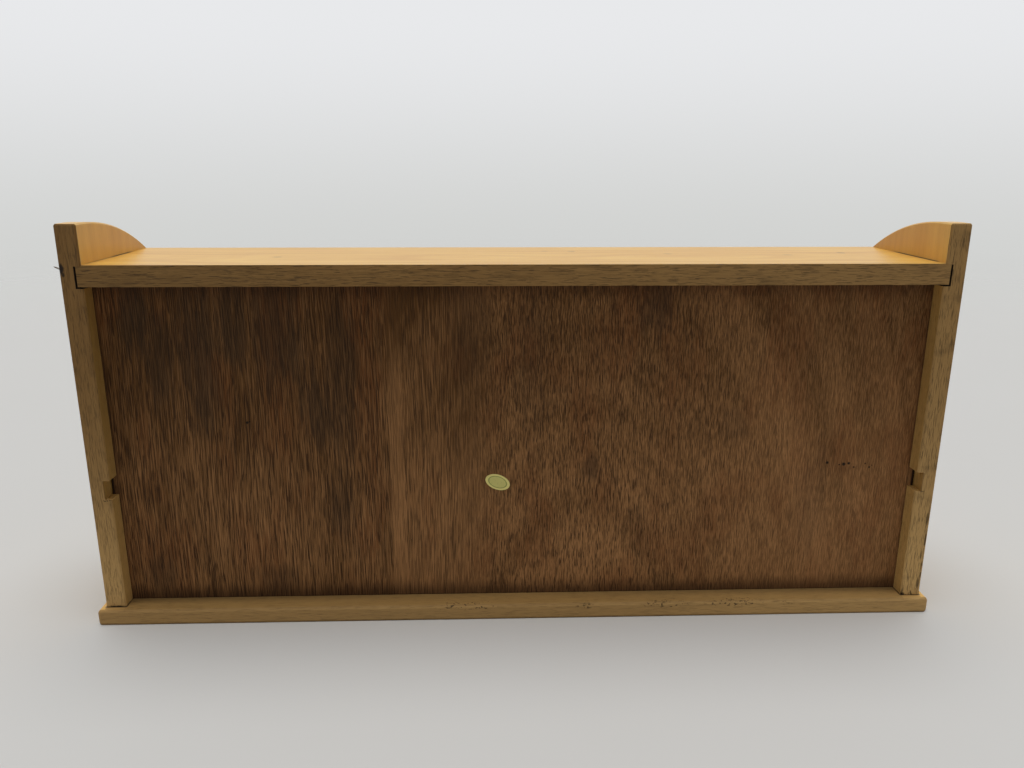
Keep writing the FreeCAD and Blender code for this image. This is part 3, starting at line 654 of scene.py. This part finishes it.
def veneer(name, streaked=True):
    """Make the plywood's veneer: a streaked sheet and a figured sheet that meet at a seam."""
    colours = settings().panel
    graph = new_graph(name)
    place = x, y, z = graph.place()
    seam = colours.seam / MM
    wander = graph.noise(place, WANDER, detail=1) - 0.5
    lean = x + wander * 9
    grain = (lean, y, z)
    left = graph.step(x + wander * 1.5, seam - 0.6, seam + 0.6) if streaked else 0.0
    upper = graph.step(z, *DARKENING)
    cloud = graph.step(graph.noise(place, CLOUD, detail=4), 0.34, 0.66)
    # Long straight streaks of the first sheet
    lines = graph.step(graph.noise(grain, STREAK, detail=2), 0.4, 0.6)
    broad = graph.step(graph.bands(lean, BROAD_STREAK, detail=3), 0.36, 0.66)
    streaky_tone = lines * 0.44 + broad * 0.08 + cloud * 0.2 + upper * 0.38 + 0.2
    # Arched figure of the second sheet, whose streaks break up into short dashes
    long_grain = graph.step(x + wander * 30, *LONG_GRAIN) if streaked else 0.0
    across = (x + ARCH_LEFT) * (1 / ARCH_WIDTH)
    rise = (z + ARCH_BELOW) * (1 / ARCH_HEIGHT)
    arch = (across * across + rise * rise) ** 0.5 + wander * 0.12
    figure = graph.step(graph.bands(arch, 0.09, detail=3), 0.34, 0.66)
    figure = figure * 0.6 - graph.step(abs(arch - PALE_ARCH), 0.09, 0.02) * 0.85
    figure = figure + graph.step(abs(arch - DARK_ARCH), 0.06, 0.01) * 0.8
    figure = figure - graph.step(arch, 0.43, 0.36) * 0.6
    dashes = graph.step(graph.noise(grain, DASH, detail=2), 0.4, 0.6)
    ripple = graph.step(graph.bands(lean, RIPPLE, detail=2), 0.38, 0.62)
    texture = long_grain * lines + (1 - long_grain) * dashes
    figured_tone = figure * 0.24 + texture * 0.4 + ripple * 0.1 + cloud * 0.1 - 0.1
    figured_tone = figured_tone + upper * 0.46 + long_grain * upper * 0.28
    tone = left * streaky_tone + (1 - left) * figured_tone
    # Pale stripe along the seam
    stripe = 0.0
    if streaked:
        stripe = graph.step(x, seam - STRIPE_WIDTH, seam - STRIPE_WIDTH + 1.5)
        stripe = stripe * graph.step(x, seam + 0.5, seam - 0.5)
    tone = tone - stripe * (texture * 0.16 + 0.02)
    colour = graph.mix(tone, colours.light[:], colours.dark[:])
    blush = graph.step(graph.noise(place, BLUSH, detail=2), 0.46, 0.64)
    colour = graph.mix(blush * (lines * 0.36 + 0.12), colour, colours.red[:])
    # Pores: long ones near the seam, short ones elsewhere, fainter towards the left end
    short_pores = graph.step(graph.noise(grain, SHORT_PORE, detail=1), 0.52, 0.62)
    long_pores = graph.step(graph.noise(grain, LONG_PORE, detail=1), 0.54, 0.59)
    strength = graph.step(x, *STRONG_PORES) * 0.35 + 0.4
    pores = long_grain * long_pores * (left * 0.18 + 0.62 - stripe * 0.2)
    pores = pores + (1 - long_grain) * short_pores * strength
    behind = graph.step(y, PANEL_BACK - 1, PANEL_BACK - 0.1) if streaked else 1.0
    pores = pores * (behind * 0.5 + 0.5)
    colour = graph.mix(pores, colour, colours.pores_and_shade[:])
    if streaked:
        ragged = (graph.noise(grain, STAIN_RIM, detail=4) - 0.5) * 3.4
        stains = spots(graph, x, z, STAINS, ragged) * behind * 0.72
        colour = graph.mix(stains, colour, colours.stain[:])
        # Painted shade along the panel's edges, below the top, above the base and in its grooves,
        # with dirt at its foot
        colour = graph.mix(panel_shade_and_dirt(graph, place), colour, colours.pores_and_shade[:])
        pits = [(across, up, radius, radius, 1) for across, up, radius in PITS]
        pit = spots(graph, x, z, pits, 0.0) * behind
        colour = graph.mix(pit, colour, settings().wood.grime_and_shade[:])
        pores = pores + pit * 3
    height = texture * 0.5 - pores
    return graph.surface(
        base_color=colour,
        roughness=tone * 0.12 + 0.66,
        specular_ior_level=0.12,
        normal=graph.bump(height, 0.14),
    )


def panel_shade_and_dirt(graph, place):
    """Painted shade and dirt along the panel's foot, and painted shade along its sides, below the
    top board, above the base and in the grooves.
    """
    x, _, z = place
    ragged = graph.noise(place, SHADE_AND_DIRT_RIM, detail=3) * 2.6
    # Painted shade and dirt in a ragged band at the panel's foot
    foot = graph.step(z, ragged + BASE_TOP + 0.3, BASE_TOP + 0.4)
    inside = graph.step(abs(x), INNER + 0.6, INNER)
    # Painted shade along the sides, at the gap to the side boards
    sides = graph.step(abs(x), INNER - 1.6, INNER - 0.2) * inside * 0.6
    # Painted shade below the top board and above the base
    below_top = graph.step(z, PANEL_TOP - SHADE_BELOW_TOP, PANEL_TOP - 1) * 0.45
    above_base = graph.step(z, BASE_TOP + SHADE_ABOVE_BASE, BASE_TOP + 1) * 0.62
    # Painted shade inside the grooves
    grooves = graph.step(abs(x), INNER + 1.9, INNER + 2.3)
    return graph.most(graph.most(foot, sides) * 0.8, graph.most(below_top, above_base), grooves)


class CABINET_OT_back_panel(bpy.types.Operator):
    """Finish the back panel and the drawers' plywood bottoms"""
    bl_idname = "cabinet.back_panel"
    bl_label = "Finish Plywood"

    def execute(self, context):
        wear("back_panel", veneer("back_panel"))
        bottom = veneer("drawer_bottoms", streaked=False)
        for bay in BAYS:
            wear(f"drawer_{bay}_bottom", bottom)
        return {"FINISHED"}


# Drawers


def front_bare_zone(graph, grain):
    """Bare wood on the back of a drawer's front."""
    return graph.step(grain.place[1], grain.high[1] - 0.4, grain.high[1] - 0.1)


# Parts of a drawer's box, and the direction of their length
BOX_PARTS = (("side_left", "Y"), ("side_right", "Y"), ("back", "X"))


class CABINET_OT_drawers(bpy.types.Operator):
    """Finish the drawers' fronts and boxes"""
    bl_idname = "cabinet.drawers"
    bl_label = "Finish Drawers"

    def execute(self, context):
        for index, bay in enumerate(BAYS):
            finish_board(f"drawer_{bay}_front", "X", SEEDS["front"] + index, front_bare_zone,
                         figure=0.42)
            for number, (part, along) in enumerate(BOX_PARTS):
                seed = SEEDS["box"] + len(BOX_PARTS) * index + number
                wear(f"drawer_{bay}_{part}", pale_wood(f"drawer_{bay}_{part}", along, seed))
        return {"FINISHED"}


# Knobs

# Distance from a knob's foot, and its radius there, in millimetres
KNOB_PROFILE = ((0, 6.6), (0.25, 7.0), (1.3, 7.0), (1.9, 6.5), (2.6, 5.6), (3.6, 5.15), (5.0, 5.1),
                (6.3, 5.45), (7.3, 6.4), (8.3, 8.1), (9.4, 9.6), (10.6, 10.6), (12.2, 11.0),
                (13.8, 10.85), (15.3, 10.1), (16.7, 8.7), (17.9, 6.5), (18.6, 3.9), (18.9, 1.6),
                (19, 0.4))


def lofted(name, lofts, smooth=True):
    """Skin each list of rings, close its ends with fans, and make one object of them all."""
    form = bmesh.new()
    for rings in lofts:
        rows = [[form.verts.new(point) for point in ring] for ring in rings]
        count = len(rings[0])
        for lower, upper in zip(rows, rows[1:]):
            for step in range(count):
                following = (step + 1) % count
                form.faces.new((lower[step], lower[following], upper[following], upper[step]))
        for row, ring in ((rows[0], rings[0]), (rows[-1], rings[-1])):
            hub = form.verts.new(sum((Vector(point) for point in ring), Vector()) / count)
            for step in range(count):
                form.faces.new((row[step], row[(step + 1) % count], hub))
    bmesh.ops.recalc_face_normals(form, faces=form.faces)
    mesh = bpy.data.meshes.new(name)
    form.to_mesh(mesh)
    form.free()
    for polygon in mesh.polygons:
        polygon.use_smooth = smooth
    piece = bpy.data.objects.new(name, mesh)
    bpy.context.collection.objects.link(piece)
    return piece


def ring_about(middle, axis, radius, segments):
    """Give the points of a circle round an axis."""
    turn = Vector(axis).normalized().to_track_quat("Z", "Y")
    points = []
    for step in range(segments):
        bearing = 2 * math.pi * step / segments
        spoke = Vector((radius * math.cos(bearing), radius * math.sin(bearing), 0))
        points.append(Vector(middle) + turn @ spoke)
    return points


class CABINET_OT_knobs(bpy.types.Operator):
    """Turn a smooth knob for each drawer"""
    bl_idname = "cabinet.knobs"
    bl_label = "Turn Knobs"

    def execute(self, context):
        segments = settings().knob.segments
        for index, bay in enumerate(BAYS):
            node = f"drawer_{bay}_knob"
            low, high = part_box(node)
            x, z = (low[0] + high[0]) / 2, (low[2] + high[2]) / 2
            rings = [ring_about((x, high[1] - along * MM, z), (0, -1, 0), radius * MM, segments)
                     for along, radius in KNOB_PROFILE]
            knob = lofted(f"turned_knob_{bay}", [rings])
            knob.data.materials.append(wood(knob.name, node, "Y", SEEDS["knob"] + index))
            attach(knob, f"drawer_{bay}")
            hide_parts(node)
        return {"FINISHED"}


# Brads and screws


# Sizes of rust blotches and of scratches, in millimetres
BLOTCH = (1.1, 1.1, 1.1)
SCRATCH = (0.3, 0.3, 3.0)


def metal(name, colour, roughness):
    """Make worn metal of one colour with blotches of rust."""
    graph = new_graph(name)
    place = graph.place()
    blotch = graph.step(graph.noise(place, BLOTCH, detail=4), 0.42, 0.66)
    scratch = graph.noise(place, SCRATCH, detail=2)
    return graph.surface(
        base_color=graph.mix(blotch * 0.75, colour, settings().hardware.rust[:]),
        metallic=1 - blotch * 0.5,
        roughness=blotch * 0.3 + scratch * 0.12 + roughness,
        normal=graph.bump(blotch * 0.5 + scratch * 0.4, 0.05),
    )


class CABINET_OT_hardware(bpy.types.Operator):
    """Finish the brads and the knobs' screws"""
    bl_idname = "cabinet.hardware"
    bl_label = "Finish Brads and Screws"

    def execute(self, context):
        colours = settings().hardware
        steel = metal("steel_brads", colours.steel[:], 0.36)
        brass = metal("brass_screws", colours.brass[:], 0.3)
        for node in ["side_brads", "base_brads"] + [f"drawer_{bay}_brads" for bay in BAYS]:
            wear(node, steel)
        for bay in BAYS:
            wear(f"drawer_{bay}_knob_screw", brass)
        return {"FINISHED"}


# The brad that has crept out of the right side board: points of its middle line, and its radius
# at each, in millimetres
CREPT_BRAD = ((252.6, 45.9, 216.9), (253.6, 46.2, 217.0), (254.6, 46.4, 217.5),
              (255.6, 46.5, 217.9), (256.6, 46.6, 218.4))
CREPT_RADII = (0.5, 0.5, 0.46, 0.4, 0.16)
CREPT_SEGMENTS = 16


class CABINET_OT_crept_brad(bpy.types.Operator):
    """Make the thin bent brad that sticks out of the right side board"""
    bl_idname = "cabinet.crept_brad"
    bl_label = "Make Crept Brad"

    def execute(self, context):
        points = [Vector(point) * MM for point in CREPT_BRAD]
        rings = []
        for index, (point, radius) in enumerate(zip(points, CREPT_RADII)):
            axis = points[min(index + 1, len(points) - 1)] - points[max(index - 1, 0)]
            rings.append(ring_about(point, axis, radius * MM, CREPT_SEGMENTS))
        piece = lofted("crept_brad", [rings])
        piece.data.materials.append(metal("crept_brad", settings().hardware.steel[:], 0.4))
        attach(piece, "cabinet")
        return {"FINISHED"}


# Splinters

# Where each splinter starts, where its tip is, its width and its thickness, in millimetres
SPLINTERS = (((242.7, 46.6, 78.8), (242.5, 46.9, 80.9), 0.9, 0.5),
             ((244.0, 46.6, 79.0), (244.2, 47.0, 81.8), 1.0, 0.5),
             ((245.3, 46.6, 79.2), (245.5, 47.0, 81.0), 0.8, 0.5),
             ((246.3, 46.7, 78.8), (246.0, 47.1, 82.4), 0.9, 0.4),
             ((250.0, 46.7, 13.2), (248.6, 47.3, 10.4), 1.4, 0.4),
             ((-252.9, 46.7, 24.0), (-253.2, 47.3, 31.5), 0.8, 0.4),
             ((-252.8, 46.7, 56.0), (-253.2, 47.2, 63.0), 0.8, 0.4),
             ((-251.0, 46.8, 14.0), (-251.8, 47.4, 10.6), 1.0, 0.4),
             ((252.2, 46.7, 210.0), (252.9, 47.2, 204.5), 0.8, 0.4))
# How a splinter narrows: share of the way to its tip, and share of its full size there
SPLINTER_TAPER = ((0, 1), (0.35, 0.92), (0.7, 0.6), (1, 0.08))


def splinter(start, tip, width, thick):
    """Give the rings of one splinter, which narrows to its tip."""
    start, tip = Vector(start) * MM, Vector(tip) * MM
    axis = (tip - start).normalized()
    across = axis.cross(Vector((0, 1, 0))).normalized()
    out = across.cross(axis).normalized()
    rings = []
    for share, scale in SPLINTER_TAPER:
        middle = start.lerp(tip, share)
        half_wide = across * (width * scale * MM / 2)
        half_thick = out * (thick * scale * MM / 2)
        rings.append([middle + half_wide * side + half_thick * face
                      for side, face in ((-1, -1), (1, -1), (1, 1), (-1, 1))])
    return rings


def bare_all_over(graph, grain):
    """Bare wood on every face."""
    return 1.0


class CABINET_OT_splinters(bpy.types.Operator):
    """Raise small splinters on the side boards' torn rear edges"""
    bl_idname = "cabinet.splinters"
    bl_label = "Raise Splinters"

    def execute(self, context):
        piece = lofted("splinters", [splinter(*row) for row in SPLINTERS], smooth=False)
        torn = wood("splinters", "side_right", "Z", SEEDS["side_right"], bare_all_over, fresh=0.7)
        piece.data.materials.append(torn)
        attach(piece, "cabinet")
        return {"FINISHED"}


# Label

# Distance of the label's face from the panel, how much further its rim curls off, and the
# thickness of its paper, in millimetres
LABEL_LIFT = 0.1
LABEL_CURL = 0.22
LABEL_PAPER = 0.08
# Where round the rim it curls most, in radians, and how steeply the curl fades from there
CURL_BEARING = 0.5
CURL_FADE = 6
LABEL_SEGMENTS = 64
# Ovals of the label's face and of its back, as shares of its size
LABEL_FACE = (0.2, 0.4, 0.7, 0.9, 0.985, 1.0)
LABEL_BACK = (1.0, 0.9, 0.7, 0.2)


def label_oval(label, share, depth):
    """Give one oval round the label, whose rim curls a little off the panel on one side."""
    points = []
    for step in range(LABEL_SEGMENTS):
        bearing = 2 * math.pi * step / LABEL_SEGMENTS
        facing = max(0, math.cos(bearing - CURL_BEARING))
        lift = LABEL_LIFT + LABEL_CURL * facing ** CURL_FADE * share ** CURL_FADE
        points.append((label.width / 2 * share * math.cos(bearing), (lift - depth) * MM,
                       label.height / 2 * share * math.sin(bearing)))
    return points


def label_paper(label):
    """Make the label's paper, with its printed ring round a tinted middle."""
    graph = new_graph("label_paper")
    place = x, _, z = graph.place()
    across = x * (2 * MM / label.width)
    rise = z * (2 * MM / label.height)
    radius = (across * across + rise * rise) ** 0.5
    mottle = graph.noise(place, (0.9, 0.9, 0.9), detail=4)
    radius = radius + (mottle - 0.5) * 0.05
    ring = graph.step(radius, 0.66, 0.70) * graph.step(radius, 0.80, 0.76)
    inside = graph.step(radius, 0.70, 0.64)
    colour = graph.mix(ring * 0.85 + inside * 0.32, label.paper[:], label.ring[:])
    colour = graph.mix(graph.step(mottle, 0.55, 0.8) * 0.25, colour, settings().wood.grime_and_shade[:])
    return graph.surface(base_color=colour, roughness=mottle * 0.2 + 0.45,
                         normal=graph.bump(mottle, 0.03))


class CABINET_OT_label(bpy.types.Operator):
    """Stick the small oval paper label on the back panel"""
    bl_idname = "cabinet.label"
    bl_label = "Stick Label"

    def execute(self, context):
        label = settings().label
        panel_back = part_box("back_panel")[1][1]
        ovals = [label_oval(label, share, 0) for share in LABEL_FACE]
        ovals += [label_oval(label, share, LABEL_PAPER) for share in LABEL_BACK]
        piece = lofted("oval_label", [ovals])
        piece.matrix_world = (Matrix.Translation((label.place_x, panel_back, label.place_z))
                              @ Matrix.Rotation(-label.tilt, 4, "Y"))
        piece.data.materials.append(label_paper(label))
        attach(piece, "cabinet")
        return {"FINISHED"}


# Stage

# The floor's radius, in metres, and, in millimetres, how far it lies below the ground, from where
# to where it fades into the background, and the size of its mottling
FLOOR_RADIUS = 6.0
FLOOR_SEGMENTS = 96
FLOOR_DROP = 0.2
FLOOR_FADE = (600, 2600)
FLOOR_MOTTLE = (180, 180, 180)
# Upward part of the directions between which the background turns from horizon to sky
HORIZON_RISE = (-0.12, 0.16)
# Which way the light from above shines
LIGHT_DIRECTION = (0.01, 0.03, -1)
# The camera's place and nearest sight in metres, where it looks and where its right side points,
# its roll in radians, and its sensor and focal length in millimetres
CAMERA_PLACE = (0.02073, 0.51045, 0.27653)
CAMERA_NEAR = 0.01
CAMERA_AHEAD = (-0.03299, -0.96415, -0.26331)
CAMERA_RIGHT = (-0.99942, 0.03420, 0)
CAMERA_ROLL = 0.00216
CAMERA_SENSOR = 36
CAMERA_FOCAL = 29.139


class CABINET_OT_stage(bpy.types.Operator):
    """Set up the floor, the lamps, the background and the camera"""
    bl_idname = "cabinet.stage"
    bl_label = "Set Stage"

    def execute(self, context):
        stage = settings().stage
        scene = context.scene
        scene.view_settings.view_transform = "Standard"
        self.floor(stage)
        self.background(scene, stage)
        self.overhead_light(stage)
        self.camera(scene)
        return {"FINISHED"}

    def floor(self, stage):
        form = bmesh.new()
        bmesh.ops.create_circle(form, cap_ends=True, segments=FLOOR_SEGMENTS,
                                radius=FLOOR_RADIUS)
        mesh = bpy.data.meshes.new("floor")
        form.to_mesh(mesh)
        form.free()
        floor = bpy.data.objects.new("floor", mesh)
        floor.location.z = -FLOOR_DROP * MM
        bpy.context.collection.objects.link(floor)
        graph = new_graph("floor")
        place = x, y, _ = graph.place()
        far = graph.step((x * x + y * y) ** 0.5, *FLOOR_FADE)
        mottle = graph.noise(place, FLOOR_MOTTLE, detail=3)
        colour = graph.mix(mottle * 0.06, stage.floor[:], stage.sky[:])
        matt = graph.node("ShaderNodeBsdfPrincipled", values={
            "Base Color": colour, "Roughness": 0.62, "Specular IOR Level": 0.3})
        seen = graph.node("ShaderNodeBsdfTransparent")
        blend = graph.node("ShaderNodeMixShader", values={0: far, 1: matt, 2: seen})
        graph.node("ShaderNodeOutputMaterial", values={"Surface": blend})
        mesh.materials.append(graph.owner)

    def background(self, scene, stage):
        scene.world = bpy.data.worlds.new("studio")
        graph = Graph(scene.world)
        direction = graph.split(graph.node("ShaderNodeTexCoord", output="Generated"))
        rise = graph.step(direction[2], *HORIZON_RISE)
        seen = graph.mix(rise, stage.horizon[:], stage.sky[:])
        camera_rays = graph.node("ShaderNodeLightPath", output="Is Camera Ray")
        rays = camera_rays.socket.node.outputs
        shown = graph.most(camera_rays, Signal(graph, rays["Is Transmission Ray"]),
                           Signal(graph, rays["Is Glossy Ray"]))
        light = graph.node("ShaderNodeBackground", values={
            "Color": (1, 1, 1, 1), "Strength": stage.ambient})
        picture = graph.node("ShaderNodeBackground", values={"Color": seen, "Strength": 1.0})
        mixed = graph.node("ShaderNodeMixShader", values={0: shown, 1: light, 2: picture})
        graph.node("ShaderNodeOutputWorld", values={"Surface": mixed})

    def overhead_light(self, stage):
        light = bpy.data.lights.new("overhead_light", "SUN")
        light.energy = stage.overhead
        light.angle = stage.spread
        lamp = bpy.data.objects.new("overhead_light", light)
        bpy.context.collection.objects.link(lamp)
        lamp.rotation_euler = Vector(LIGHT_DIRECTION).to_track_quat("-Z", "Y").to_euler()

    def camera(self, scene):
        lens = bpy.data.cameras.new("camera")
        lens.sensor_width = CAMERA_SENSOR
        lens.lens = CAMERA_FOCAL
        camera = bpy.data.objects.new("camera", lens)
        bpy.context.collection.objects.link(camera)
        ahead = Vector(CAMERA_AHEAD).normalized()
        right = Vector(CAMERA_RIGHT).normalized()
        up = right.cross(ahead)
        turn = Matrix((right, up, -ahead)).transposed()
        roll = Matrix.Rotation(CAMERA_ROLL, 3, -ahead)
        camera.matrix_world = Matrix.LocRotScale(
            Vector(CAMERA_PLACE), (roll @ turn).to_quaternion(), None)
        lens.clip_start = CAMERA_NEAR
        scene.camera = camera


class CABINET_PT_panel(bpy.types.Panel):
    """List the steps and the settings"""
    bl_label = "Cassette Cabinet"
    bl_idname = "CABINET_PT_panel"
    bl_space_type = "VIEW_3D"
    bl_region_type = "UI"
    bl_category = "Cabinet"

    def draw(self, context):
        for step in STEPS:
            self.layout.operator(step.bl_idname)
        for name in CabinetSettings.__annotations__:
            values = getattr(settings(), name)
            box = self.layout.box()
            box.label(text=name.title())
            for value in values.__annotations__:
                box.prop(values, value)


GROUPS = (WoodSettings, PanelSettings, KnobSettings, HardwareSettings, LabelSettings, StageSettings,
          CabinetSettings)
STEPS = (CABINET_OT_boards, CABINET_OT_back_panel, CABINET_OT_drawers, CABINET_OT_knobs,
         CABINET_OT_hardware, CABINET_OT_crept_brad, CABINET_OT_splinters, CABINET_OT_label,
         CABINET_OT_stage)


def register():
    for kind in GROUPS + STEPS + (CABINET_PT_panel,):
        bpy.utils.register_class(kind)
    bpy.types.Scene.cassette_cabinet = PointerProperty(type=CabinetSettings)


def unregister():
    del bpy.types.Scene.cassette_cabinet
    for kind in reversed(GROUPS + STEPS + (CABINET_PT_panel,)):
        bpy.utils.unregister_class(kind)


def main():
    register()
    for step in STEPS:
        group, name = step.bl_idname.split(".")
        getattr(getattr(bpy.ops, group), name)()


if __name__ == "__main__":
    main()
